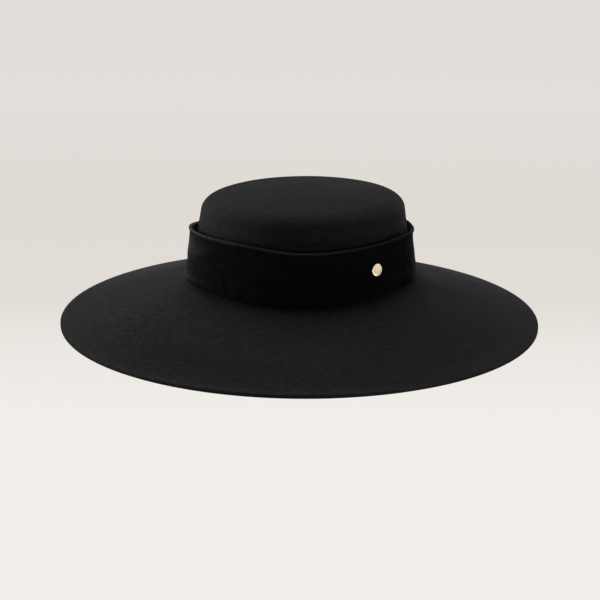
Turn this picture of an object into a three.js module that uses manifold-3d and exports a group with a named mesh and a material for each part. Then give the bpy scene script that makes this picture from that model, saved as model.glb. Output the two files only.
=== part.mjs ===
// A wide-brimmed wool felt hat: a low flat-topped oval crown, a broad brim, a cloth band whose
// top edge is rolled over, and a small round metal ornament on the band.
// Millimetres, +Z up. The hat rests on its rim, whose lower edge lies in the plane z = 0.
// +X is the long way of the head oval. Azimuths are in degrees from +X, and -90 is one long side.
import * as THREE from 'three';
import { mergeVertices } from 'three/addons/utils/BufferGeometryUtils.js';
import Module from 'manifold-3d';

const wasm = await Module();
wasm.setup();

const { clamp, degToRad, euclideanModulo, lerp, radToDeg, smoothstep } = THREE.MathUtils;

// How finely the shapes are cut into facets. Shares and levels run from 0 to 1 along a profile.
const stepsAround = 80;
const shoulderSteps = 5;
const rollSteps = 7;
const bandEdgeSteps = 2;
const postSides = 16;
const discSides = 24;
const tipShares = [0.72, 0.4, 0];
const brimShares = [0, 0.1, 0.25, 0.41, 0.58, 0.74, 0.88, 1];
const bandOutsideLevels = [0.07, 0.17, 0.27, 0.35, 0.43, 0.52, 0.63, 0.76, 0.88];
const bandInsideLevels = [0.88, 0.63, 0.43, 0.27];

// Driving dimensions. A length is half an oval's long axis, a width half its short one.
const gap = 0.3;
const feltThickness = 2.5;
const clothThickness = 1.6;

// The outside of the crown where it meets the brim, and the rim.
const headLength = 101;
const headWidth = 85.5;
const rimLength = 217.5;
const rimWidth = 199.2;
const rimFootWidth = 3;
const rimFootStep = 1;

// The brim is this share steeper at the crown, and flatter at the rim, than a straight slope.
const brimHollow = 0.08;

// The shoulder curves in over its reach and down over its drop, and its oval is a little rounder
// than the head's: the shoulder ratio is width to length.
const crownHeight = 120.85;
const shoulderLength = 91.5;
const shoulderRatio = 0.861;
const shoulderReach = 17;
const shoulderDrop = 12.8;
const tipDome = 3.8;
const crownTopSlope = 0.0185;

// The head oval lies a little towards +X from the rim's middle, and the crown leans that way.
const headShift = 1.3;
const crownLean = 0.018;

// The band's foot is turned in over its edge. Its long sides lie nearer the crown at the top.
const bandFootLength = 104.7;
const bandTopLength = 100.4;
const bandHug = 1.8;
const bandEdgeReach = 1.6;
const bandEdgeHeight = 2.8;
const bandEdgeDegrees = [-62, -6];
const rollRadius = 1.4;
const rollInset = 0.2;
const rollDegrees = [-55, 235];

// The ornament's raised ring stands above its face by the ring step, and its middle is domed.
// It is turned a little towards +X from the cloth, so its back stands off the cloth.
const discRadius = 5.45;
const discThickness = 1.2;
const discRingWidth = 1;
const discRingStep = 0.3;
const discBevel = 0.25;
const discDome = 0.12;
const discStandOff = 0.6;
const discTurnDegrees = 5;
const postRadius = 1.2;
const postLength = 2.6;
const postClearance = 0.3;
const discAzimuth = -50.7;
const discLevel = 0.545;

// Walls keep their plain foot up to these heights, where their upper parts start to shift.
const crownPlainFoot = 4;
const bandPlainFoot = 2;

// Heights of the band's foot and of the middle of its rolled edge, every 30 degrees.
const bandSections = [
  { azimuth: -180, foot: 39.3, roll: 86.6 },
  { azimuth: -150, foot: 41.6, roll: 89.8 },
  { azimuth: -120, foot: 39.9, roll: 90.1 },
  { azimuth: -90, foot: 39.2, roll: 86.4 },
  { azimuth: -60, foot: 42.3, roll: 88.4 },
  { azimuth: -30, foot: 44.8, roll: 90.3 },
  { azimuth: 0, foot: 43.7, roll: 86.6 },
  { azimuth: 30, foot: 45.5, roll: 86.5 },
  { azimuth: 60, foot: 44.0, roll: 87.0 },
  { azimuth: 90, foot: 41.5, roll: 86.0 },
  { azimuth: 120, foot: 42.0, roll: 86.0 },
  { azimuth: 150, foot: 41.5, roll: 81.0 },
];

// Soft folds in the band. Level is 0 at the foot and 1 at the rolled edge, spans are half widths
// in degrees and in levels, rise is the fold's change of level per degree, and depth is outward.
const bandFolds = [
  { azimuth: -97, level: 0.8, span: 15, levelSpan: 0.08, rise: -0.008, depth: -0.8 },
  { azimuth: -172, level: 0.52, span: 16, levelSpan: 0.15, rise: 0, depth: 0.5 },
  { azimuth: -172, level: 0.35, span: 16, levelSpan: 0.08, rise: 0, depth: -1.6 },
  { azimuth: -28, level: 0.38, span: 18, levelSpan: 0.1, rise: 0, depth: -0.9 },
  { azimuth: -26, level: 0.2, span: 20, levelSpan: 0.1, rise: 0, depth: 1.2 },
  { azimuth: -152, level: 0.5, span: 8, levelSpan: 0.3, rise: 0.01, depth: -0.8 },
  { azimuth: 4, level: 0.74, span: 22, levelSpan: 0.2, rise: 0, depth: -0.7 },
  { azimuth: 122, level: 0.55, span: 14, levelSpan: 0.16, rise: -0.006, depth: -0.9 },
];

// A smooth closed curve through one column of the sections.
function around(column, azimuth) {
  const step = 360 / bandSections.length;
  const place = (azimuth - bandSections[0].azimuth) / step;
  const first = Math.floor(place);
  const t = place - first;
  const at = (index) => bandSections[(index + bandSections.length) % bandSections.length][column];
  const [before, start, end, after] = [-1, 0, 1, 2].map((offset) => at(first + offset));
  const bend = 2 * before - 5 * start + 4 * end - after;
  const twist = -before + 3 * start - 3 * end + after;
  return 0.5 * (2 * start + (end - before) * t + bend * t ** 2 + twist * t ** 3);
}

function average(column) {
  return bandSections.reduce((sum, section) => sum + section[column], 0) / bandSections.length;
}

// Half the oval's short axis where half its long one is the given length.
function ovalWidth(length) {
  if (length > headLength) {
    const share = (length - headLength) / (rimLength - headLength);
    return lerp(headWidth, rimWidth, share);
  }
  const inwards = clamp((headLength - length) / (headLength - shoulderLength), 0, 1);
  return length * lerp(headWidth / headLength, shoulderRatio, inwards);
}

// How much of the brim's rise is left at a length: 1 where it meets the crown, 0 at the rim.
function flare(length) {
  const share = (length - headLength) / (rimLength - headLength);
  return (1 - share) * (1 - brimHollow * share);
}

function brimRise(footHeight) {
  return (footHeight - gap - feltThickness) / flare(bandFootLength);
}

const meanRise = brimRise(average('foot'));
const brimTop = (length) => feltThickness + meanRise * flare(length);

// How far the brim's surface at an azimuth lies above or below the mean one.
function brimShift(length, azimuth) {
  return (brimRise(around('foot', azimuth)) - meanRise) * flare(length);
}

// An outline moved to its left by a distance.
function offset(outline, distance) {
  return outline.map((point, index) => {
    const before = outline[Math.max(index - 1, 0)];
    const after = outline[Math.min(index + 1, outline.length - 1)];
    const along = new THREE.Vector2().subVectors(after, before).normalize();
    return new THREE.Vector2(point.x - along.y * distance, point.y + along.x * distance);
  });
}

// An arc of an upright ellipse, from one angle to another.
function arc(centre, reach, height, [fromDegrees, toDegrees], steps) {
  return Array.from({ length: steps + 1 }, (_, step) => {
    const angle = degToRad(lerp(fromDegrees, toDegrees, step / steps));
    return new THREE.Vector2(centre.x + reach * Math.cos(angle), centre.y + height * Math.sin(angle));
  });
}

// Turns a profile about Z, then moves each point to its place on the oval hat.
function turned(profile, placed) {
  const geometry = new THREE.LatheGeometry(profile, stepsAround);
  geometry.rotateX(Math.PI / 2);
  const position = geometry.attributes.position;
  for (let index = 0; index < position.count; index += 1) {
    const [x, y, z] = [position.getX(index), position.getY(index), position.getZ(index)];
    const azimuth = radToDeg(Math.atan2(y, x));
    const point = placed(Math.hypot(x, y), azimuth, z);
    position.setXYZ(index, point.x, point.y, point.z);
  }
  return welded(geometry);
}

// A place on the oval of a length, whose long sides lie a hug nearer the middle.
function onOval(length, azimuth, height, shift, hug = 0) {
  const angle = degToRad(azimuth);
  const x = length * Math.cos(angle) + shift;
  return new THREE.Vector3(x, (ovalWidth(length) - hug) * Math.sin(angle), height);
}

// Keeps only positions and joins the vertices that coincide.
function welded(geometry) {
  const weldDistance = 1e-3;
  geometry.deleteAttribute('normal');
  geometry.deleteAttribute('uv');
  return mergeVertices(geometry, weldDistance);
}

function solid(geometry) {
  const vertProperties = Float32Array.from(geometry.attributes.position.array);
  const triVerts = Uint32Array.from(geometry.index.array);
  return new wasm.Manifold(new wasm.Mesh({ numProp: 3, vertProperties, triVerts }));
}

function geometryOf(manifold) {
  const mesh = manifold.getMesh();
  const geometry = new THREE.BufferGeometry();
  geometry.setAttribute('position', new THREE.BufferAttribute(mesh.vertProperties, 3));
  geometry.setIndex(new THREE.BufferAttribute(mesh.triVerts, 1));
  return geometry;
}

function named(name, geometry, colour, roughness, metalness) {
  geometry.computeVertexNormals();
  const material = new THREE.MeshStandardMaterial({ color: colour, roughness, metalness });
  const mesh = new THREE.Mesh(geometry, material);
  mesh.name = name;
  return mesh;
}

// Crown: a tapering wall, a round shoulder and a slightly domed tip, open below.
function crownGeometry() {
  const flatLength = shoulderLength - shoulderReach;
  const arcCentre = new THREE.Vector2(flatLength, crownHeight - tipDome - shoulderDrop);
  const foot = new THREE.Vector2(headLength, brimTop(headLength) + gap);
  const squash = shoulderDrop / shoulderReach;
  const taper = (headLength - shoulderLength) / (arcCentre.y - foot.y);
  const tipEdgeSlope = (2 * tipDome) / flatLength;
  const shoulderDegrees = [taper * squash, squash / tipEdgeSlope].map((slope) => radToDeg(Math.atan(slope)));
  const shoulder = arc(arcCentre, shoulderReach, shoulderDrop, shoulderDegrees, shoulderSteps);
  const halfway = new THREE.Vector2().lerpVectors(foot, shoulder[0], 0.5);
  const tip = tipShares.map((share) => {
    return new THREE.Vector2(flatLength * share, crownHeight - tipDome * share ** 2);
  });
  const outline = [foot, halfway, ...shoulder, ...tip];
  const inner = offset(outline, feltThickness);
  inner[0].set(headLength - feltThickness, brimTop(headLength - feltThickness) + gap);
  inner[inner.length - 1].x = 0;
  const topReach = crownHeight - foot.y;

  return turned([...inner.reverse(), ...outline], (length, azimuth, z) => {
    const footShare = 1 - smoothstep(z, foot.y + crownPlainFoot, arcCentre.y);
    const slope = crownTopSlope * length * Math.cos(degToRad(azimuth)) * (z - foot.y) / topReach;
    const height = z + brimShift(length, azimuth) * footShare + slope * (1 - footShare);
    return onOval(length, azimuth, height, headShift + crownLean * (z - foot.y));
  });
}

// Brim: slopes down from the crown to a cut rim that lies flat on a narrow foot.
function brimGeometry() {
  const innerLength = headLength - feltThickness;
  const footLength = rimLength - rimFootWidth;
  const wallHeight = feltThickness * Math.hypot(1, meanRise / (rimLength - headLength));
  const upperLengths = [innerLength, ...brimShares.map((share) => lerp(headLength, rimLength, share))];
  const upper = upperLengths.map((length) => new THREE.Vector2(length, brimTop(length)));
  const lower = brimShares.map((share) => {
    const length = lerp(innerLength, footLength - rimFootStep, share);
    return new THREE.Vector2(length, brimTop(length) - wallHeight);
  });
  const rimFoot = [new THREE.Vector2(footLength, 0), new THREE.Vector2(rimLength, 0)];
  const profile = [...lower, ...rimFoot, ...upper.reverse(), lower[0]];

  return turned(profile, (length, azimuth, z) => {
    const onFoot = z < gap;
    const height = onFoot ? 0 : z + brimShift(length, azimuth);
    return onOval(length, azimuth, height, headShift * flare(length));
  });
}

const bandFootHeight = brimTop(bandFootLength) + gap;
const bandRollHeight = average('roll');

function foldDepth(azimuth, level) {
  return bandFolds.reduce((sum, fold) => {
    const away = euclideanModulo(azimuth - fold.azimuth + 180, 360) - 180;
    const across = (level - fold.level - fold.rise * away) / fold.levelSpan;
    return sum + fold.depth * Math.exp(-((away / fold.span) ** 2) - across ** 2);
  }, 0);
}

function onBand(length, azimuth, z) {
  const plainTop = bandFootHeight + bandPlainFoot;
  const level = clamp((z - plainTop) / (bandRollHeight - plainTop), 0, 1);
  const rollShift = around('roll', azimuth) - bandRollHeight;
  const height = z + lerp(brimShift(length, azimuth), rollShift, level);
  const shift = headShift * flare(bandFootLength);
  return onOval(length + foldDepth(azimuth, level), azimuth, height, shift, bandHug * level);
}

function bandOutside(level) {
  const length = lerp(bandFootLength, bandTopLength, level);
  return new THREE.Vector2(length, lerp(bandFootHeight, bandRollHeight, level));
}

// Band: a flared cloth wall that ends in a round rolled edge, with a hole for the ornament's post.
function bandGeometry() {
  const outside = bandOutsideLevels.map(bandOutside);
  const rollCentre = new THREE.Vector2(bandTopLength - rollInset, bandRollHeight);
  const roll = arc(rollCentre, rollRadius, rollRadius, rollDegrees, rollSteps);
  const inside = bandInsideLevels.map((level) => {
    return bandOutside(level).sub(new THREE.Vector2(clothThickness, 0));
  });
  const footLength = bandFootLength - clothThickness;
  const insideFoot = new THREE.Vector2(footLength, brimTop(footLength) + gap);
  const edgeCentre = new THREE.Vector2(bandFootLength - bandEdgeReach, bandFootHeight + bandEdgeHeight);
  const edge = arc(edgeCentre, bandEdgeReach, bandEdgeHeight, bandEdgeDegrees, bandEdgeSteps);
  const profile = [...outside, ...roll, ...inside, insideFoot, ...edge, outside[0]];
  const wall = solid(turned(profile, onBand));

  const holeRadius = postRadius + postClearance;
  const holeLength = 4 * postLength;
  const hole = new THREE.CylinderGeometry(holeRadius, holeRadius, holeLength, postSides);
  hole.rotateX(Math.PI / 2);
  const { centre, turn } = discPlace();
  hole.applyQuaternion(turn);
  hole.translate(centre.x, centre.y, centre.z);
  return geometryOf(wall.subtract(solid(welded(hole))));
}

// Where the ornament sits on the band, and the turn that faces it outwards.
function discPlace() {
  const degrees = 1;
  const levels = 0.02;
  const at = (azimuth, level) => {
    const point = bandOutside(level);
    return onBand(point.x, azimuth, point.y);
  };
  const centre = at(discAzimuth, discLevel);
  const sideways = at(discAzimuth + degrees, discLevel).sub(at(discAzimuth - degrees, discLevel));
  const upwards = at(discAzimuth, discLevel + levels).sub(at(discAzimuth, discLevel - levels));
  const outwards = new THREE.Vector3().crossVectors(sideways, upwards).normalize();
  outwards.applyAxisAngle(upwards.normalize(), degToRad(discTurnDegrees));
  const turn = new THREE.Quaternion().setFromUnitVectors(new THREE.Vector3(0, 0, 1), outwards);
  return { centre, turn };
}

// Ornament: a domed round plate with a raised edge, one piece with the post behind it.
function discMesh() {
  const ringTop = discStandOff + discThickness;
  const faceHeight = ringTop - discRingStep;
  const ringInside = discRadius - discRingWidth;
  const halfwayDome = 0.75 * discDome;
  const profile = [
    [0, -postLength],
    [postRadius, -postLength],
    [postRadius, discStandOff],
    [discRadius - discBevel, discStandOff],
    [discRadius, discStandOff + discBevel],
    [discRadius, ringTop - discBevel],
    [discRadius - discBevel, ringTop],
    [ringInside, ringTop],
    [ringInside - discBevel, faceHeight],
    [ringInside / 2, faceHeight + halfwayDome],
    [0, faceHeight + discDome],
  ].map(([x, y]) => new THREE.Vector2(x, y));
  const geometry = new THREE.LatheGeometry(profile, discSides);
  geometry.rotateX(Math.PI / 2);
  const mesh = named('disc_ornament', welded(geometry), 0xe0c592, 0.3, 1);
  const { centre, turn } = discPlace();
  mesh.position.copy(centre);
  mesh.quaternion.copy(turn);
  return mesh;
}

const hat = new THREE.Group();
hat.add(named('crown', crownGeometry(), 0x0b0b0c, 0.95, 0));
hat.add(named('brim', brimGeometry(), 0x0b0b0c, 0.95, 0));
hat.add(named('hat_band', bandGeometry(), 0x040405, 0.9, 0));
hat.add(discMesh());

export default hat;
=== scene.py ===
import math

import bpy
import numpy as np
from mathutils import Matrix, Vector, noise


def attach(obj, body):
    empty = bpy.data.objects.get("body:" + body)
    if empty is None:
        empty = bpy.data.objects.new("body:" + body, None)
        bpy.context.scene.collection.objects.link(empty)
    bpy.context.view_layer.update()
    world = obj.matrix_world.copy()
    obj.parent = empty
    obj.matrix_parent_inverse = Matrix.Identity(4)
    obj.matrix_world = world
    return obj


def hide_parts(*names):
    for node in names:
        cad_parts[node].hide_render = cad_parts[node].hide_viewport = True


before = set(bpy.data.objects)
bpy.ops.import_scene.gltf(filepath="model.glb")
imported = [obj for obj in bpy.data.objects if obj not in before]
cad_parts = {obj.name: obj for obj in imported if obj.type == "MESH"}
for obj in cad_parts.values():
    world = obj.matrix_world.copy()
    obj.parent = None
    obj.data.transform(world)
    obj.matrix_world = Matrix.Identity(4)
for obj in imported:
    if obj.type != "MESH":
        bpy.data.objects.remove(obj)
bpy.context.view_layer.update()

# Driving dimensions, in millimetres as in the part's source: they become metres when a mesh is
# made. A length is half an oval's long axis, a width half its short one, and an azimuth is in
# degrees from +X. A level is how far up the band, from 0 at its foot to 1 at its rolled edge.
MM = 0.001
GAP = 0.3
FELT = 2.5
CLOTH = 1.6

# The outside of the crown where it meets the brim, and the rim, which rests on a narrow foot.
HEAD_LENGTH = 101.0
HEAD_WIDTH = 85.5
HEAD_RATIO = HEAD_WIDTH / HEAD_LENGTH
RIM_LENGTH = 217.5
RIM_WIDTH = 199.2
RIM_FOOT = 3.0

# The brim is this share steeper at the crown, and flatter at the rim, than a straight slope. Its
# upper face is uneven over the last stretch, and the cut edge's corners are rounded a little.
BRIM_HOLLOW = 0.08
RIM_LIP_REACH = 14.0
RIM_EDGE = 0.3
RIM_FOOT_EDGE = 0.05

# The shoulder curves in over its reach and down over its drop, and its oval is a little rounder
# than the head's: the shoulder ratio is width to length.
CROWN_HEIGHT = 120.85
SHOULDER_LENGTH = 91.5
SHOULDER_RATIO = 0.861
SHOULDER_REACH = 17.0
SHOULDER_DROP = 12.8
TIP_DOME = 3.8
CROWN_TOP_SLOPE = 0.0185
CROWN_LIFT = 0.1

# The head oval lies a little towards +X from the rim's middle, and the crown leans that way. The
# felt sways a little from its smooth form, from the first of two heights, in full at the second.
HEAD_SHIFT = 1.3
CROWN_LEAN = 0.018
CROWN_SWAY = 0.35
CROWN_SWAY_SIZE = 45.0
CROWN_SWAY_HEIGHTS = (60, 90)
CROWN_SWAY_SEED = 3

# The band's foot is turned in over its edge. Its long sides lie nearer the crown at the top.
BAND_FOOT_LENGTH = 104.7
BAND_TOP_LENGTH = 100.4
BAND_HUG = 1.8
BAND_EDGE_REACH = 1.6
BAND_EDGE_HEIGHT = 2.8
BAND_EDGE_DEGREES = (-62, -6)
BAND_INNER_BEVEL = 0.3
BAND_OUTSIDE_LEVELS = (0.07, 0.955)
BAND_INSIDE_LEVELS = (0.93, 0.03)
ROLL_RADIUS = 1.4
ROLL_INSET = 0.2
ROLL_DEGREES = (-50, 232)

# Walls keep their plain foot up to these heights, where their upper parts start to shift.
CROWN_PLAIN_FOOT = 4.0
BAND_PLAIN_FOOT = 2.0

# The ornament's raised ring stands above its face by the ring step, and its middle is domed. It
# is turned a little towards +X from the cloth, so its back stands off the cloth.
DISC_RADIUS = 5.45
DISC_THICKNESS = 1.2
DISC_RING_WIDTH = 1.0
DISC_RING_STEP = 0.3
DISC_RING_SLOPE = 0.2
DISC_BEVEL = 0.25
DISC_DOME = 0.12
DISC_STAND_OFF = 0.6
DISC_TURN = 5.0
DISC_AZIMUTH = -50.7
DISC_LEVEL = 0.545
POST_RADIUS = 1.2
POST_LENGTH = 2.6
POST_BEVEL = 0.2

# Every 30 degrees from -180: the heights of the band's foot and of the middle of its rolled edge,
# how far the rim's upper edge stands above an even slope, and how much painted sheen lightens the
# pile along the rolled edge, strongest where the light falls on it.
FOOT = np.array([39.3, 41.6, 39.9, 39.2, 42.3, 44.8, 43.7, 45.5, 44.0, 41.5, 42.0, 41.5])
ROLL = np.array([86.6, 89.8, 90.1, 86.4, 88.4, 90.3, 86.6, 86.5, 87.0, 86.0, 86.0, 81.0])
RIM_LIP = np.array([-0.3, -0.6, 0.0, 0.7, 0.0, -0.6, -0.3, -0.1, 0.1, 0.3, 0.5, 0.0])
ROLL_SHEEN = np.array([0.75, 0.60, 0.45, 0.85, 0.35, 0.20, 0.08, 0.15, 0.30, 0.40, 0.40, 0.55])

# Soft folds in the band: azimuth, level, half spans in degrees and in levels, rise in levels per
# degree, and depth, outwards where it is above 0. The first eight are the part's own, fourteen
# finer ones follow, and the last three let the left end stand out a little further.
FOLDS = [
    (-97, 0.80, 15, 0.08, -0.008, -0.8),
    (-172, 0.52, 16, 0.15, 0.0, 0.5),
    (-172, 0.35, 16, 0.08, 0.0, -1.6),
    (-28, 0.38, 18, 0.10, 0.0, -0.9),
    (-26, 0.20, 20, 0.10, 0.0, 1.2),
    (-152, 0.50, 8, 0.30, 0.010, -0.8),
    (4, 0.74, 22, 0.20, 0.0, -0.7),
    (122, 0.55, 14, 0.16, -0.006, -0.9),
    (-140, 0.72, 9, 0.12, 0.012, 0.45),
    (-148, 0.26, 10, 0.08, -0.010, -0.40),
    (-128, 0.42, 12, 0.10, 0.008, -0.35),
    (-84, 0.62, 10, 0.06, 0.010, 0.35),
    (-70, 0.78, 8, 0.05, 0.012, -0.40),
    (-60, 0.30, 14, 0.07, -0.006, 0.35),
    (-110, 0.20, 16, 0.06, 0.005, 0.35),
    (-14, 0.62, 10, 0.07, 0.010, 0.45),
    (28, 0.35, 18, 0.08, 0.006, -0.50),
    (52, 0.68, 16, 0.08, -0.008, -0.45),
    (76, 0.30, 14, 0.10, 0.006, 0.45),
    (100, 0.72, 14, 0.07, 0.008, 0.40),
    (148, 0.30, 14, 0.09, 0.008, -0.50),
    (166, 0.66, 12, 0.08, -0.010, 0.45),
    (-178, 0.36, 13, 0.075, 0.0, 1.15),
    (-178, 0.20, 12, 0.11, 0.0, 1.3),
    (-178, 0.00, 12, 0.12, 0.0, 0.8),
]

# The tables below hold soft patches: azimuth, place, half spans in degrees and in the place's
# unit, and share. A place is a level on the band, a height on the crown, and how far out from the
# band's foot on the brim. Here the share is painted sheen: how much the pile is lightened where
# it catches the light at grazing angles, brightest along the band's left edge.
PAINTED_SHEEN = [
    (-172, 0.70, 15, 0.22, 1.0),
    (-155, 0.66, 6, 0.08, 0.15),
    (-147, 0.80, 6, 0.08, 0.12),
    (-174, 0.12, 18, 0.08, 0.55),
    (-105, 0.60, 24, 0.30, 0.08),
    (-179, 0.14, 7, 0.13, 0.6),
    (154, 0.58, 26, 0.34, 0.34),
    (112, 0.40, 20, 0.24, 0.14),
    (62, 0.62, 24, 0.26, 0.16),
]

# Painted light and shade: how much lighter, or darker below 0, the nap and the pile are painted
# where light falls on them or shade gathers, as in the shade on the crown's lower wall, the
# contact shadow at the band's foot, the lit strips on the brim's back and the highlight along the
# rim's upper edge.
CROWN_PAINTED_LIGHT = [
    (-78, 93.5, 44, 3.2, -0.32),
    (-12, 100, 13, 14, 0.5),
    (-166, 103, 11, 11, 0.2),
    (-145, 101, 24, 8, 0.12),
    (-90, 121, 600, 7, 0.08),
    (28, 114, 26, 7, 0.25),
    (152, 114, 26, 7, 0.12),
]
BRIM_PAINTED_LIGHT = [
    (-110, 109.3, 70, 2.3, 0.24),
    (-112, 113.4, 40, 0.9, -0.2),
    (-64, 113, 10, 1.2, 0.45),
    (-134, 1, 22, 4, -0.30),
    (-146, 0, 15, 1.8, -0.35),
    (-42, 1, 24, 4, -0.26),
    (-18, 1, 10, 3, -0.2),
    (-111, 9, 10, 6, 0.18),
    (-9, 22, 9, 16, -0.2),
    (180, 3, 10, 5, 0.22),
    (52, 75, 24, 65, 0.7),
    (10, 14, 12, 14, 0.3),
    (-3, 42, 14, 30, -0.1),
    (132, 70, 16, 60, 0.5),
    (-133, 75, 20, 30, -0.12),
    (-36, 104, 16, 8, 0.25),
    (-112, 82, 20, 12, -0.1),
]
BAND_PAINTED_LIGHT = [
    (-142, 0.5, 16, 0.6, -0.22),
    (-146, 0.0, 22, 0.045, -0.5),
    (-178, 0.15, 14, 0.16, 0.4),
    (-95, 0.1, 22, 0.2, 0.2),
    (-24, 0.4, 17, 0.6, -0.3),
    (-60, 0.2, 30, 0.3, -0.1),
    (-30, 0.27, 9, 0.07, 0.6),
    (-2, 0.45, 11, 0.7, -0.7),
    (-17, 0.06, 5, 0.14, -0.25),
]

# How mottled the nap is, and where the brim's is more or less so: painted shade of the grain,
# stronger on the left where the light grazes the brim and weaker on the right.
CROWN_MOTTLE = 0.42
BRIM_MOTTLE = 0.48
BRIM_PAINTED_GRAIN_SHADE = [
    (-152, 60, 34, 90, 0.22),
    (-20, 60, 36, 90, -0.12),
]


def grey(value):
    return (value, value, value)


# The darker and the lighter colour of each finish and of the painted sheens, as linear red,
# green and blue.
FELT_COLOURS = [(0.0163, 0.0164, 0.0164), (0.0242, 0.0243, 0.0244)]
PILE_COLOURS = [(0.0056, 0.0058, 0.0060), (0.0092, 0.0095, 0.0099)]
PAINTED_SHEEN_COLOURS = [grey(0.026), grey(0.042)]
ROLL_SHEEN_COLOURS = [grey(0.030), grey(0.060)]
MATT_GOLD_COLOURS = [(0.75, 0.59, 0.43), (0.84, 0.67, 0.49)]
BRIGHT_GOLD_COLOURS = [(0.98, 0.85, 0.64), (1.0, 0.90, 0.70)]

# The floor's tones from the front to the back: metres along Y, and red, green and blue up to 255.
FLOOR_TONES = [
    (-0.30, (242, 239, 234)),
    (-0.20, (240, 237, 232)),
    (-0.08, (235, 231, 226)),
    (0.05, (226, 221, 215)),
    (0.41, (223, 218, 212)),
    (0.94, (227, 222, 218)),
    (1.50, (225, 220, 216)),
]


def around(column, azimuth):
    """A smooth closed curve through one column of heights."""
    place = (np.asarray(azimuth, float) + 180.0) / 30.0
    first = np.floor(place).astype(int)
    t = place - first
    before, start, end, after = (column[(first + k) % 12] for k in (-1, 0, 1, 2))
    bend = 2 * before - 5 * start + 4 * end - after
    twist = -before + 3 * start - 3 * end + after
    return 0.5 * (2 * start + (end - before) * t + bend * t**2 + twist * t**3)


def smoothstep(x, low, high):
    """A smooth rise from 0 at low to 1 at high."""
    t = np.clip((x - low) / (high - low), 0.0, 1.0)
    return t * t * (3 - 2 * t)


def degrees_from(middle, azimuth):
    """How far an azimuth lies from a middle one, from -180 to 180."""
    return (azimuth - middle + 180.0) % 360.0 - 180.0


def patches(table, azimuth, place):
    """The sum of soft round patches at an azimuth and a place on the profile."""
    total = 0.0
    for middle, centre, span, reach, share in table:
        away = degrees_from(middle, azimuth) / span
        total = total + share * np.exp(-(away**2) - ((place - centre) / reach) ** 2)
    return total


def fold_depth(azimuth, level):
    """How far the band's folds stand out from its plain form."""
    total = 0.0
    for middle, height, span, level_span, rise, depth in FOLDS:
        away = degrees_from(middle, azimuth)
        across = (level - height - rise * away) / level_span
        total = total + depth * np.exp(-((away / span) ** 2) - across**2)
    return total


def brim_share(length):
    return (length - HEAD_LENGTH) / (RIM_LENGTH - HEAD_LENGTH)


def oval_width(length):
    """Half the short axis: the crown's oval grows a little rounder up to the shoulder."""
    beyond = HEAD_WIDTH + (RIM_WIDTH - HEAD_WIDTH) * brim_share(length)
    inwards = np.clip((HEAD_LENGTH - length) / (HEAD_LENGTH - SHOULDER_LENGTH), 0, 1)
    ratio = HEAD_RATIO + (SHOULDER_RATIO - HEAD_RATIO) * inwards
    return np.where(length <= HEAD_LENGTH, length * ratio, beyond)


def flare(length):
    """How far up its rise the brim is: 1 at the crown and 0 at the rim."""
    share = brim_share(length)
    return (1 - share) * (1 - BRIM_HOLLOW * share)


def brim_rise(foot_height):
    """The brim's rise that carries the band's foot at this height."""
    return (foot_height - GAP - FELT) / flare(BAND_FOOT_LENGTH)


MEAN_RISE = brim_rise(FOOT.mean())


def brim_top(length):
    """The height of the brim's upper face where its rise is the mean one."""
    return FELT + MEAN_RISE * flare(length)


def brim_shift(length, azimuth):
    """How much higher than that the brim lies at an azimuth."""
    return (brim_rise(around(FOOT, azimuth)) - MEAN_RISE) * flare(length)


BAND_FOOT_HEIGHT = brim_top(BAND_FOOT_LENGTH) + GAP
BAND_ROLL_HEIGHT = ROLL.mean()


def band_level(z):
    """The level of a height on the plain band. It stays 0 over the plain foot."""
    plain_top = BAND_FOOT_HEIGHT + BAND_PLAIN_FOOT
    return np.clip((z - plain_top) / (BAND_ROLL_HEIGHT - plain_top), 0, 1)


def band_outside(level):
    """The outside of the plain band at a level: length and height."""
    level = np.asarray(level, float)
    length = BAND_FOOT_LENGTH + (BAND_TOP_LENGTH - BAND_FOOT_LENGTH) * level
    height = BAND_FOOT_HEIGHT + (BAND_ROLL_HEIGHT - BAND_FOOT_HEIGHT) * level
    return np.stack([length, height], -1)


def on_oval(length, azimuth, height, shift, hug=0.0):
    """A place on the oval of a length, whose long sides lie a hug nearer the middle."""
    angle = np.radians(azimuth)
    x = length * np.cos(angle) + shift
    y = (oval_width(length) - hug) * np.sin(angle)
    return np.stack(np.broadcast_arrays(x, y, height), axis=-1)


def on_band(length, azimuth, z):
    """A place on the plain band's profile, moved to where the real band is at an azimuth."""
    level = band_level(z)
    roll_shift = around(ROLL, azimuth) - BAND_ROLL_HEIGHT
    height = z + (1 - level) * brim_shift(length, azimuth) + level * roll_shift
    shift = HEAD_SHIFT * flare(BAND_FOOT_LENGTH)
    return on_oval(length + fold_depth(azimuth, level), azimuth, height, shift, BAND_HUG * level)


def arc(centre, radius, start, end, steps, height=None):
    """An arc of a circle or, with a height that isn't its radius, of an upright ellipse."""
    angle = np.radians(np.linspace(start, end, steps + 1))
    height = radius if height is None else height
    return np.stack([centre[0] + radius * np.cos(angle), centre[1] + height * np.sin(angle)], -1)


def line(start, end, steps):
    """Points from start up to but without end."""
    t = np.linspace(0, 1, steps, endpoint=False)[:, None]
    return np.asarray(start) * (1 - t) + np.asarray(end) * t


def offset(outline, distance):
    """The outline moved to its left."""
    padded = np.vstack([outline[:1], outline, outline[-1:]])
    along = padded[2:] - padded[:-2]
    along /= np.linalg.norm(along, axis=1, keepdims=True)
    return outline + distance * np.stack([-along[:, 1], along[:, 0]], -1)


def swayed(points, amount, size, seed):
    """Points moved by a smooth field, so that both faces of a wall move together."""
    noise.seed_set(seed)
    moved = points.copy()
    flat = moved.reshape(-1, 3)
    field = np.array([noise.noise_vector(Vector(p) / size) for p in flat])
    moved += (field * amount.reshape(-1, 1)).reshape(points.shape)
    return moved


def azimuths(steps):
    return np.arange(steps) * (360.0 / steps) - 180.0


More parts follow.
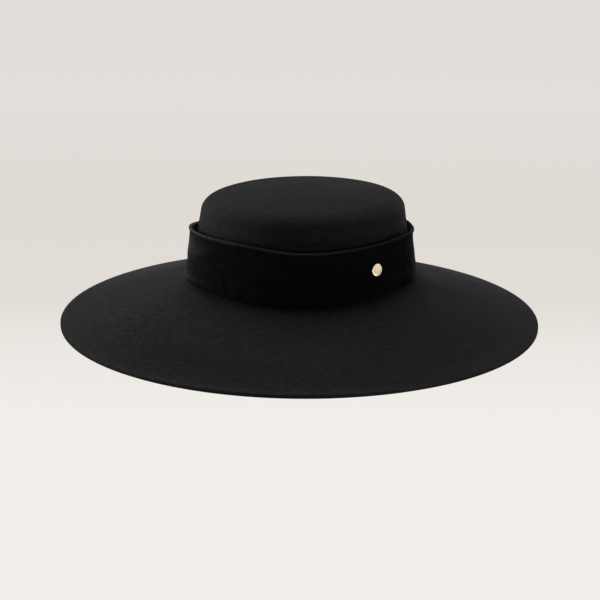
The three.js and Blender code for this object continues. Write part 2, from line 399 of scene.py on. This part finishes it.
def grid_mesh(name, points, poles=False):
    """Quads through a closed grid of rows around Z. Poles close its first and last row."""
    rows, columns, _ = points.shape
    verts = points.reshape(-1, 3) * MM
    index = np.arange(rows * columns).reshape(rows, columns)
    following = np.roll(index, -1, axis=1)
    last = rows - 1 if poles else rows
    up = (np.arange(last) + 1) % rows
    quads = np.stack([index[:last], following[:last], following[up], index[up]], axis=-1)
    faces = [tuple(q) for q in quads.reshape(-1, 4).tolist()]
    if poles:
        verts = np.vstack([verts, points[0].mean(axis=0) * MM, points[-1].mean(axis=0) * MM])
        first_pole, last_pole = rows * columns, rows * columns + 1
        faces += [(first_pole, b, a) for a, b in zip(index[0].tolist(), following[0].tolist())]
        faces += [(last_pole, a, b) for a, b in zip(index[-1].tolist(), following[-1].tolist())]
    mesh = bpy.data.meshes.new(name)
    mesh.from_pydata(verts.tolist(), [], faces)
    mesh.validate()
    mesh.polygons.foreach_set("use_smooth", [True] * len(mesh.polygons))
    piece = bpy.data.objects.new(name, mesh)
    bpy.context.scene.collection.objects.link(piece)
    return piece


def paint(piece, name, values):
    """Stores a value at each point, for the piece's material. Poles keep the last one."""
    values = np.ravel(values)
    values = np.pad(values, (0, len(piece.data.vertices) - len(values)), mode="edge")
    piece.data.attributes.new(name, "FLOAT", "POINT").data.foreach_set("value", values)


# Crown: felt wall, round shoulder and slightly domed tip, open below.
def crown_piece():
    steps_around, wall_steps, shoulder_steps, tip_steps = 480, 22, 24, 33
    tip_end = 0.004
    flat_radius = SHOULDER_LENGTH - SHOULDER_REACH
    arc_centre = np.array([flat_radius, CROWN_HEIGHT - TIP_DOME - SHOULDER_DROP])
    foot = np.array([HEAD_LENGTH, brim_top(HEAD_LENGTH) + CROWN_LIFT])
    squash = SHOULDER_DROP / SHOULDER_REACH
    taper = (HEAD_LENGTH - SHOULDER_LENGTH) / (arc_centre[1] - foot[1])
    start = math.degrees(math.atan(taper * squash))
    end = math.degrees(math.atan(squash * flat_radius / (2 * TIP_DOME)))
    shoulder = arc(arc_centre, SHOULDER_REACH, start, end, shoulder_steps, SHOULDER_DROP)
    share = np.linspace(1, tip_end, tip_steps + 1)[1:]
    tip = np.stack([flat_radius * share, CROWN_HEIGHT - TIP_DOME * share**2], -1)
    outside = np.vstack([line(foot, shoulder[0], wall_steps), shoulder, tip])
    inside = offset(outside, FELT)
    inside[0] = [HEAD_LENGTH - FELT, brim_top(HEAD_LENGTH - FELT) + CROWN_LIFT]
    inside[-1, 0] = outside[-1, 0]
    profile = np.vstack([inside[::-1], outside])

    length, z = profile[:, :1], profile[:, 1:]
    azimuth = azimuths(steps_around)[None, :]
    foot_share = 1 - smoothstep(z, foot[1] + CROWN_PLAIN_FOOT, arc_centre[1])
    rise = (z - foot[1]) / (CROWN_HEIGHT - foot[1])
    slope = CROWN_TOP_SLOPE * length * np.cos(np.radians(azimuth)) * rise
    height = z + brim_shift(length, azimuth) * foot_share + slope * (1 - foot_share)
    points = on_oval(length, azimuth, height, HEAD_SHIFT + CROWN_LEAN * (z - foot[1]))
    sway = CROWN_SWAY * smoothstep(points[..., 2], *CROWN_SWAY_HEIGHTS)
    points = swayed(points, sway, CROWN_SWAY_SIZE, CROWN_SWAY_SEED)
    piece = grid_mesh("crown_felt", points, poles=True)
    # Painted light and shade on the crown's felt.
    paint(piece, "painted_light", 1 + patches(CROWN_PAINTED_LIGHT, azimuth, z))
    paint(piece, "mottle", np.full(points.shape[:2], CROWN_MOTTLE))
    return piece


# Brim: felt that slopes down to a cut rim, which lies flat on a narrow foot.
def brim_piece():
    steps_around, slope_steps, lip_steps, edge_steps, foot_steps = 600, 41, 13, 5, 4
    inner = HEAD_LENGTH - FELT
    lip_start = RIM_LENGTH - RIM_LIP_REACH
    foot_length = RIM_LENGTH - RIM_FOOT
    wall_height = FELT * math.hypot(1, MEAN_RISE / (RIM_LENGTH - HEAD_LENGTH))
    # The corners at the head opening: how far each point lies out from the inner wall, and up.
    upper_corner = np.array([[0.0, -0.4], [0.12, -0.1]])
    lower_corner = np.array([[1.1, 0.15], [0.35, 0.6], [0.0, 1.5]])
    upper_start, lower_end = inner + 0.4, inner + 2.2
    # The foot's inner side: how far each point lies in from the foot, and up.
    foot_side = np.array([[0.0, 0.0], [-0.5, 0.12]])
    lower_start = foot_length - 1

    upper_length = np.append(
        np.linspace(upper_start, lip_start, slope_steps + 1),
        np.linspace(lip_start + 1, RIM_LENGTH - RIM_EDGE, lip_steps + 1),
    )
    upper = np.stack([upper_length, brim_top(upper_length)], -1)
    edge_centre = (RIM_LENGTH - RIM_EDGE, upper[-1, 1] - RIM_EDGE)
    lower_length = np.linspace(lower_start, lower_end, slope_steps + 1)
    profile = np.vstack([
        upper,
        arc(edge_centre, RIM_EDGE, 75, 0, edge_steps),
        arc((RIM_LENGTH - RIM_FOOT_EDGE, RIM_FOOT_EDGE), RIM_FOOT_EDGE, 0, -90, foot_steps),
        foot_side + [foot_length, 0.0],
        np.stack([lower_length, brim_top(lower_length) - wall_height], -1),
        lower_corner + [inner, brim_top(inner) - wall_height],
        upper_corner + [inner, brim_top(inner)],
    ])

    length, z = profile[:, :1], profile[:, 1:]
    azimuth = azimuths(steps_around)[None, :]
    settled = smoothstep(z, 0.0, FELT)
    to_rim = np.clip((length - RIM_LENGTH) / RIM_LIP_REACH + 1, 0, 1)
    lip = around(RIM_LIP, azimuth) * to_rim**2
    height = z + (brim_shift(length, azimuth) + lip) * settled
    piece = grid_mesh("brim_felt", on_oval(length, azimuth, height, HEAD_SHIFT * flare(length)))
    out = length - BAND_FOOT_LENGTH
    # Painted light and shade on the brim's felt, with the contact shadow by the band's foot.
    paint(piece, "painted_light", 1 + patches(BRIM_PAINTED_LIGHT, azimuth, out))
    # The brim's mottle, with painted grain shade that is stronger on its lit left side.
    paint(piece, "mottle", BRIM_MOTTLE + patches(BRIM_PAINTED_GRAIN_SHADE, azimuth, out))
    return piece


# Band: pile cloth that flares down to the brim, its top edge rolled over.
def band_piece():
    steps_around, outside_steps, roll_steps, inside_steps, edge_steps = 600, 43, 20, 15, 9
    outside = band_outside(np.linspace(*BAND_OUTSIDE_LEVELS, outside_steps + 1))
    roll_centre = (BAND_TOP_LENGTH - ROLL_INSET, BAND_ROLL_HEIGHT)
    roll = arc(roll_centre, ROLL_RADIUS, *ROLL_DEGREES, roll_steps)
    inside = band_outside(np.linspace(*BAND_INSIDE_LEVELS, inside_steps + 1)) - [CLOTH, 0]
    inner = BAND_FOOT_LENGTH - CLOTH
    bevelled = inner + BAND_INNER_BEVEL
    inner_foot = np.array([
        [inner, brim_top(inner) + GAP + BAND_INNER_BEVEL],
        [bevelled, brim_top(bevelled) + GAP],
    ])
    edge_centre = (BAND_FOOT_LENGTH - BAND_EDGE_REACH, BAND_FOOT_HEIGHT + BAND_EDGE_HEIGHT)
    edge = arc(edge_centre, BAND_EDGE_REACH, *BAND_EDGE_DEGREES, edge_steps, BAND_EDGE_HEIGHT)
    profile = np.vstack([outside, roll, inside, inner_foot, edge])

    length, z = profile[:, :1], profile[:, 1:]
    azimuth = azimuths(steps_around)[None, :]
    piece = grid_mesh("band_cloth", on_band(length, azimuth, z))
    level = band_level(z)
    crest = BAND_ROLL_HEIGHT + ROLL_RADIUS
    # Painted sheen along the rolled edge, fading in towards its crest.
    sheen_from, sheen_in_full = crest - 2.6, crest - 0.6
    roll_sheen = smoothstep(z, sheen_from, sheen_in_full) * around(ROLL_SHEEN, azimuth)
    paint(piece, "painted_roll_sheen", roll_sheen)
    # Painted sheen on the band's pile where it catches grazing light.
    paint(piece, "painted_sheen", np.clip(patches(PAINTED_SHEEN, azimuth, level), 0, 1))
    # Painted light and shade on the band's pile, with the contact shadow at its foot.
    paint(piece, "painted_light", 1 + patches(BAND_PAINTED_LIGHT, azimuth, level))
    return piece


def disc_frame():
    """Where the ornament sits on the band, with +Z outwards."""
    degrees, levels = 1, 0.02

    def at(azimuth, level):
        length, height = band_outside(level)
        return Vector(on_band(length, azimuth, height))

    centre = at(DISC_AZIMUTH, DISC_LEVEL)
    sideways = at(DISC_AZIMUTH + degrees, DISC_LEVEL) - at(DISC_AZIMUTH - degrees, DISC_LEVEL)
    upwards = at(DISC_AZIMUTH, DISC_LEVEL + levels) - at(DISC_AZIMUTH, DISC_LEVEL - levels)
    off_cloth = Matrix.Rotation(math.radians(DISC_TURN), 3, upwards)
    outwards = off_cloth @ sideways.cross(upwards).normalized()
    turn = outwards.to_track_quat("Z", "Y")
    return Matrix.Translation(centre) @ turn.to_matrix().to_4x4()


# Ornament: a matt round plate with a polished raised edge, and the post behind it.
def disc_piece():
    steps_around, bevel_steps, face_points = 96, 4, 15
    back = -POST_LENGTH
    low = DISC_STAND_OFF + DISC_BEVEL
    high = DISC_STAND_OFF + DISC_THICKNESS - DISC_BEVEL
    ring_inside = DISC_RADIUS - DISC_RING_WIDTH
    face_height = DISC_STAND_OFF + DISC_THICKNESS - DISC_RING_STEP
    post_end, face_start, face_end = 0.05, 0.99, 0.02
    share = np.linspace(face_start, face_end, face_points)
    face = np.stack([ring_inside * share, face_height + DISC_DOME * (1 - share * share)], -1)
    profile = np.vstack([
        [[post_end, back], [POST_RADIUS - POST_BEVEL, back]],
        [[POST_RADIUS, back + POST_BEVEL], [POST_RADIUS, DISC_STAND_OFF]],
        arc((DISC_RADIUS - DISC_BEVEL, low), DISC_BEVEL, -90, 0, bevel_steps),
        arc((DISC_RADIUS - DISC_BEVEL, high), DISC_BEVEL, 0, 90, bevel_steps),
        arc((ring_inside + DISC_RING_SLOPE, high), DISC_BEVEL, 90, 170, bevel_steps),
        face,
    ])

    radius, z = profile[:, :1], profile[:, 1:]
    angle = np.radians(azimuths(steps_around))[None, :]
    local = np.stack(np.broadcast_arrays(radius * np.cos(angle), radius * np.sin(angle), z), -1)
    place = np.array(disc_frame())
    points = local @ place[:3, :3].T + place[:3, 3]
    piece = grid_mesh("gold_disc", points, poles=True)
    matt_to, polished_from = ring_inside - 1.0, ring_inside - 0.1
    paint(piece, "polished", smoothstep(radius, matt_to, polished_from) * np.ones_like(angle))
    return piece


def material(name):
    made = bpy.data.materials.new(name)
    made.use_nodes = True
    tree = made.node_tree
    coords = tree.nodes.new("ShaderNodeTexCoord").outputs["Object"]
    return made, tree, tree.nodes["Principled BSDF"], coords


def add(tree, kind, **settings):
    """A new node, each setting put on its socket of that name or else on the node itself."""
    node = tree.nodes.new(kind)
    for key, value in settings.items():
        if key in node.inputs:
            node.inputs[key].default_value = value
        else:
            setattr(node, key, value)
    return node


def noise_node(tree, coords, scale, detail, roughness, distortion=0.0):
    node = add(tree, "ShaderNodeTexNoise", Scale=scale, Detail=detail, Roughness=roughness)
    node.inputs["Distortion"].default_value = distortion
    tree.links.new(coords, node.inputs["Vector"])
    return node.outputs["Fac"]


def bump(tree, height, distance, strength, before=None):
    """A normal bumped by a height, on top of an earlier one. The distance is in metres."""
    node = add(tree, "ShaderNodeBump", Strength=strength, Distance=distance)
    tree.links.new(height, node.inputs["Height"])
    if before is not None:
        tree.links.new(before, node.inputs["Normal"])
    return node.outputs["Normal"]


def ramp(tree, factor, stops):
    node = tree.nodes.new("ShaderNodeValToRGB")
    elements = node.color_ramp.elements
    while len(elements) < len(stops):
        elements.new(0.5)
    for element, (position, colour) in zip(elements, stops):
        element.position = position
        element.color = (*colour, 1.0)
    tree.links.new(factor, node.inputs["Fac"])
    return node.outputs["Color"]


def spread(tree, factor, colours, margin=0.3):
    """From the first colour to the second, over the middle of a noise's range."""
    return ramp(tree, factor, [(margin, colours[0]), (1.0 - margin, colours[1])])


# A Mix node's sockets for its two colours and for the mixed one.
MIX_A, MIX_B, MIXED = 6, 7, 2


def multiply(tree, a, b):
    node = add(tree, "ShaderNodeMix", data_type="RGBA", blend_type="MULTIPLY")
    node.inputs["Factor"].default_value = 1.0
    tree.links.new(a, node.inputs[MIX_A])
    tree.links.new(b, node.inputs[MIX_B])
    return node.outputs[MIXED]


def mix_colours(tree, share, a, b):
    """From a to b by the share. Each is a link or a colour."""
    node = add(tree, "ShaderNodeMix", data_type="RGBA")
    tree.links.new(share, node.inputs["Factor"])
    for socket, colour in ((node.inputs[MIX_A], a), (node.inputs[MIX_B], b)):
        if isinstance(colour, tuple):
            socket.default_value = (*colour, 1.0)
        else:
            tree.links.new(colour, socket)
    return node.outputs[MIXED]


def painted(tree, name):
    return add(tree, "ShaderNodeAttribute", attribute_name=name).outputs["Fac"]


def make_matt(shader, sheen):
    """Cloth without gloss, with a soft sheen at grazing angles."""
    shader.inputs["Roughness"].default_value = 1.0
    shader.inputs["Specular IOR Level"].default_value = 0.0
    shader.inputs["Sheen Weight"].default_value = sheen
    shader.inputs["Sheen Roughness"].default_value = 0.3
    shader.inputs["Sheen Tint"].default_value = (1, 1, 1, 1)


def felt_material():
    made, tree, shader, coords = material("wool_felt")
    fibres = noise_node(tree, coords, scale=1100, detail=4, roughness=0.7, distortion=1.5)
    nap = noise_node(tree, coords, scale=340, detail=3, roughness=0.65, distortion=0.8)
    broad = noise_node(tree, coords, scale=24, detail=3, roughness=0.5)
    clumps = spread(tree, nap, [grey(0.4), grey(1.6)])
    clumps = mix_colours(tree, painted(tree, "mottle"), grey(1.0), clumps)
    shades = spread(tree, broad, [grey(0.92), grey(1.0)])
    colour = multiply(tree, spread(tree, fibres, FELT_COLOURS), clumps)
    colour = multiply(tree, colour, shades)
    # Painted light and shade lighten and darken the felt's colour.
    colour = multiply(tree, colour, painted(tree, "painted_light"))
    tree.links.new(colour, shader.inputs["Base Color"])
    normal = bump(tree, nap, distance=0.0014, strength=1.0)
    normal = bump(tree, fibres, distance=0.0004, strength=1.0, before=normal)
    tree.links.new(normal, shader.inputs["Normal"])
    make_matt(shader, sheen=0.018)
    return made


def pile_material():
    made, tree, shader, coords = material("pile_cloth")
    pile = noise_node(tree, coords, scale=1800, detail=3, roughness=0.6)
    crushed = noise_node(tree, coords, scale=130, detail=4, roughness=0.65, distortion=0.6)
    marks = spread(tree, crushed, [grey(0.62), grey(1.0)], margin=0.35)
    closed = multiply(tree, spread(tree, pile, PILE_COLOURS), marks)
    # Painted light and shade lighten and darken the pile's colour.
    closed = multiply(tree, closed, painted(tree, "painted_light"))
    # The lighter colour of the painted sheen.
    sheen_colour = multiply(tree, spread(tree, pile, PAINTED_SHEEN_COLOURS), marks)
    # The lighter colour of the painted sheen along the rolled edge.
    roll_sheen = spread(tree, pile, ROLL_SHEEN_COLOURS)
    cloth = mix_colours(tree, painted(tree, "painted_sheen"), closed, sheen_colour)
    cloth = mix_colours(tree, painted(tree, "painted_roll_sheen"), cloth, roll_sheen)
    tree.links.new(cloth, shader.inputs["Base Color"])
    normal = bump(tree, crushed, distance=0.0018, strength=1.0)
    normal = bump(tree, pile, distance=0.0003, strength=0.6, before=normal)
    tree.links.new(normal, shader.inputs["Normal"])
    make_matt(shader, sheen=0.05)
    return made


def gold_material():
    made, tree, shader, coords = material("pale_gold")
    fine = noise_node(tree, coords, scale=2500, detail=3, roughness=0.6)
    matt = spread(tree, fine, MATT_GOLD_COLOURS)
    bright = spread(tree, fine, BRIGHT_GOLD_COLOURS)
    colour = mix_colours(tree, painted(tree, "polished"), matt, bright)
    tree.links.new(colour, shader.inputs["Base Color"])
    normal = bump(tree, fine, distance=0.00005, strength=0.3)
    tree.links.new(normal, shader.inputs["Normal"])
    shader.inputs["Metallic"].default_value = 1.0
    shader.inputs["Roughness"].default_value = 0.25
    return made


def linear(level):
    """The light that a display shows for a level from 0 to 255."""
    v = level / 255.0
    return v / 12.92 if v <= 0.04045 else ((v + 0.055) / 1.055) ** 2.4


def floor_material():
    """A glow in the floor's tones. From below it is clear."""
    near, far = -0.5, 1.5
    made = bpy.data.materials.new("pale_floor")
    made.use_nodes = True
    tree = made.node_tree
    tree.nodes.clear()
    coords = tree.nodes.new("ShaderNodeTexCoord").outputs["Object"]
    split = tree.nodes.new("ShaderNodeSeparateXYZ")
    tree.links.new(coords, split.inputs["Vector"])
    place = tree.nodes.new("ShaderNodeMapRange")
    place.inputs["From Min"].default_value = near
    place.inputs["From Max"].default_value = far
    tree.links.new(split.outputs["Y"], place.inputs["Value"])
    stops = [((y - near) / (far - near), tuple(linear(v) for v in rgb)) for y, rgb in FLOOR_TONES]
    glow = tree.nodes.new("ShaderNodeEmission")
    tree.links.new(ramp(tree, place.outputs["Result"], stops), glow.inputs["Color"])
    clear = tree.nodes.new("ShaderNodeBsdfTransparent")
    side = tree.nodes.new("ShaderNodeNewGeometry")
    mix = tree.nodes.new("ShaderNodeMixShader")
    tree.links.new(side.outputs["Backfacing"], mix.inputs["Fac"])
    tree.links.new(glow.outputs["Emission"], mix.inputs[1])
    tree.links.new(clear.outputs["BSDF"], mix.inputs[2])
    out = tree.nodes.new("ShaderNodeOutputMaterial")
    tree.links.new(mix.outputs["Shader"], out.inputs["Surface"])
    return made


def floor_piece():
    """A plain pale floor whose own soft glow gives the studio's even backdrop."""
    half, z = 8.0, -0.0002
    mesh = bpy.data.meshes.new("floor")
    corners = [(-half, -half, z), (half, -half, z), (half, half, z), (-half, half, z)]
    mesh.from_pydata(corners, [], [(0, 1, 2, 3)])
    mesh.materials.append(floor_material())
    piece = bpy.data.objects.new("floor", mesh)
    bpy.context.scene.collection.objects.link(piece)
    return piece


def softbox(name, place, size, watts):
    """A soft rectangular studio light, aimed at the hat. Places and sizes are in metres."""
    hat_middle = Vector((0, 0, 0.05))
    data = bpy.data.lights.new(name, "AREA")
    data.shape = "RECTANGLE"
    data.size, data.size_y = size
    data.energy = watts
    light = bpy.data.objects.new(name, data)
    light.location = place
    light.rotation_euler = (hat_middle - Vector(place)).to_track_quat("-Z", "Y").to_euler()
    light.visible_camera = False
    bpy.context.scene.collection.objects.link(light)


def dark_world():
    """Nothing but the softboxes and the floor gives light."""
    world = bpy.data.worlds.new("studio")
    world.use_nodes = True
    world.node_tree.nodes["Background"].inputs["Color"].default_value = (0, 0, 0, 1)
    bpy.context.scene.world = world


def camera():
    """Low in front of the hat, a long lens, tipped half a degree."""
    distance, elevation, roll = 1.631, math.radians(19.2), math.radians(0.52)
    focal_pixels, picture_pixels = 1779.0, 600.0
    place = Vector((0, -distance * math.cos(elevation), distance * math.sin(elevation)))
    target = Vector((0.00044, 0, 0.01755))
    data = bpy.data.cameras.new("camera")
    data.sensor_width = 36.0
    data.lens = focal_pixels / picture_pixels * data.sensor_width
    shot = bpy.data.objects.new("camera", data)
    aim = (target - place).to_track_quat("-Z", "Y").to_matrix().to_4x4()
    shot.matrix_world = Matrix.Translation(place) @ aim @ Matrix.Rotation(roll, 4, "Z")
    bpy.context.scene.collection.objects.link(shot)
    bpy.context.scene.camera = shot


camera()
felt, pile, gold = felt_material(), pile_material(), gold_material()
crown, brim, band, disc = crown_piece(), brim_piece(), band_piece(), disc_piece()
for piece, node, slot, finish in [
    (crown, "crown", "felt", felt),
    (brim, "brim", "felt", felt),
    (band, "hat_band", "band_cloth", pile),
    (disc, "disc_ornament", "gold_metal", gold),
]:
    piece.data.materials.append(finish)
    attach(piece, "root")
    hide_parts(node)

floor_piece()
softbox("overhead", place=(0, 0.75, 1.9), size=(1.5, 1.2), watts=43.6)
softbox("left", place=(-2.03, 0.54, 0.36), size=(1.0, 0.7), watts=49.5)
softbox("right", place=(2.1, 0, 0.36), size=(1.0, 0.7), watts=9.4)
softbox("back", place=(0, 2.2, 0.36), size=(2.4, 0.7), watts=29.4)
softbox("low_back_right", place=(0.67, 1.83, 0.12), size=(0.8, 0.25), watts=30.0)
dark_world()
bpy.context.scene.view_settings.view_transform = "Standard"
